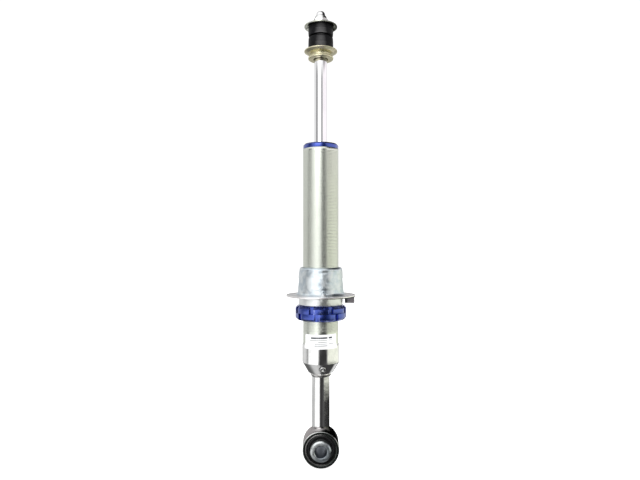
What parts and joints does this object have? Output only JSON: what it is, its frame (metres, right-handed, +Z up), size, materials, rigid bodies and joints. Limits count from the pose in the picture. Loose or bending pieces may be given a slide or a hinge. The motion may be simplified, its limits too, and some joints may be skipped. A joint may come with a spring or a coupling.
{
  "type": "strut assembly",
  "caption": "Height-adjustable monotube damper strut for a front suspension, with a bushed lower eye, a screw-adjusted spring seat and a rubber-bushed stud mount on top; no coil spring.",
  "frame": {"origin": "centre of the lower eye's bolt hole", "axes": "+Z up the strut's axis towards the top stud; Y along the lower bolt, with the gas port and label facing -Y; +X to the right of someone facing the label"},
  "size_m": [0.0976, 0.0976, 0.6386],
  "materials": {
    "satin_zinc": "satin electro-plated zinc with a faint drawn grain",
    "polished_chrome": "bright polished plating",
    "weld_bead": "plated weld bead with fine ripples",
    "rod_chrome": "ground and hard-chromed",
    "bush_steel": "zinc-plated steel, turned end faces",
    "black_rubber": "moulded matt black rubber",
    "blue_anodised": "machined and anodised deep blue",
    "yellow_zinc": "yellow passivated zinc plating",
    "bright_zinc": "bright bluish zinc on pressed sheet",
    "nut_zinc": "bright zinc plating",
    "bare_aluminium": "machined",
    "shim_steel": "rolled spring steel",
    "bearing_bronze": "sintered bronze with a dark lining",
    "band_polymer": "filled low-friction polymer",
    "insert_nylon": "moulded nylon",
    "white_label": null
  },
  "bodies": {
    "damper_body": {"eye_ring": "polished_chrome", "eye_weld": "weld_bead", "bush_outer_shell": "bush_steel", "bush_rubber": "black_rubber", "lower_stem": "polished_chrome", "stem_weld": "weld_bead", "base_cup": "polished_chrome", "gas_port_plug": "nut_zinc", "gas_port_seal": "black_rubber", "body_tube": "satin_zinc", "label": "white_label", "end_cap": "blue_anodised", "end_cap_oring": "black_rubber", "rod_guide_bush": "bearing_bronze", "rod_seal": "black_rubber", "seal_washer": "shim_steel", "rod_wiper": "black_rubber"},
    "bolt_sleeve": {"eye_sleeve": "bush_steel"},
    "sliding_band": {"piston_band": "band_polymer"},
    "rod": {"piston_rod": "rod_chrome", "piston": "bare_aluminium", "compression_shims": "shim_steel", "rebound_shims": "shim_steel", "upper_stop_washer": "shim_steel", "lower_stop_washer": "shim_steel", "piston_nut": "nut_zinc", "bumper_clip": "shim_steel", "bumper_washer": "shim_steel", "rebound_bumper": "black_rubber", "lower_spacer": "yellow_zinc", "lower_cup_washer": "yellow_zinc", "lower_bush": "black_rubber", "bush_crush_sleeve": "nut_zinc", "upper_bush": "black_rubber", "upper_cup_washer": "yellow_zinc", "top_nut": "nut_zinc", "top_nut_insert": "insert_nylon"},
    "gas_piston": {"floating_piston": "bare_aluminium", "floating_piston_oring": "black_rubber", "floating_piston_band": "band_polymer"},
    "seat_slider": {"seat_carrier": "bright_zinc"},
    "adjuster": {"adjuster_ring": "blue_anodised"},
    "locker": {"lock_ring": "blue_anodised"},
    "seat": {"spring_seat": "bright_zinc"}
  },
  "joints": [
    {"name": "rod_slide", "type": "slide", "parent": "damper_body", "child": "sliding_band", "axis": [0, 0, 1], "range_m": [-0.11, 0], "stiffness_N_per_m": 300, "springref_m": 0.6},
    {"name": "rod_turn", "type": "hinge", "parent": "sliding_band", "child": "rod", "pos_m": [0, 0, 0.36], "axis": [0, 0, 1], "continuous": true},
    {"name": "gas_piston_slide", "type": "slide", "parent": "damper_body", "child": "gas_piston", "axis": [0, 0, 1], "range_m": [-0.018, 0]},
    {"name": "bolt_sleeve_twist", "type": "hinge", "parent": "damper_body", "child": "bolt_sleeve", "pos_m": [0, 0, 0], "axis": [0, 1, 0], "range_deg": [-15, 15], "stiffness_Nm_per_rad": 60},
    {"name": "seat_height", "type": "slide", "parent": "damper_body", "child": "seat_slider", "axis": [0, 0, 1], "range_m": [-0.016, 0.15]},
    {"name": "adjuster_turn", "type": "hinge", "parent": "seat_slider", "child": "adjuster", "pos_m": [0, 0, 0.1934], "axis": [0, 0, 1], "range_deg": [-2880, 27000]},
    {"name": "lock_ring_turn", "type": "hinge", "parent": "adjuster", "child": "locker", "pos_m": [0, 0, 0.1835], "axis": [0, 0, 1], "range_deg": [-45, 0]},
    {"name": "seat_turn", "type": "hinge", "parent": "seat_slider", "child": "seat", "pos_m": [0, 0, 0.2119], "axis": [0, 0, 1], "continuous": true}
  ],
  "couplings": [
    {"joint": "gas_piston_slide", "follows": "rod_slide", "ratio": 0.16},
    {"joint": "adjuster_turn", "follows": "seat_height", "rad_per_m": 3141.6}
  ]
}
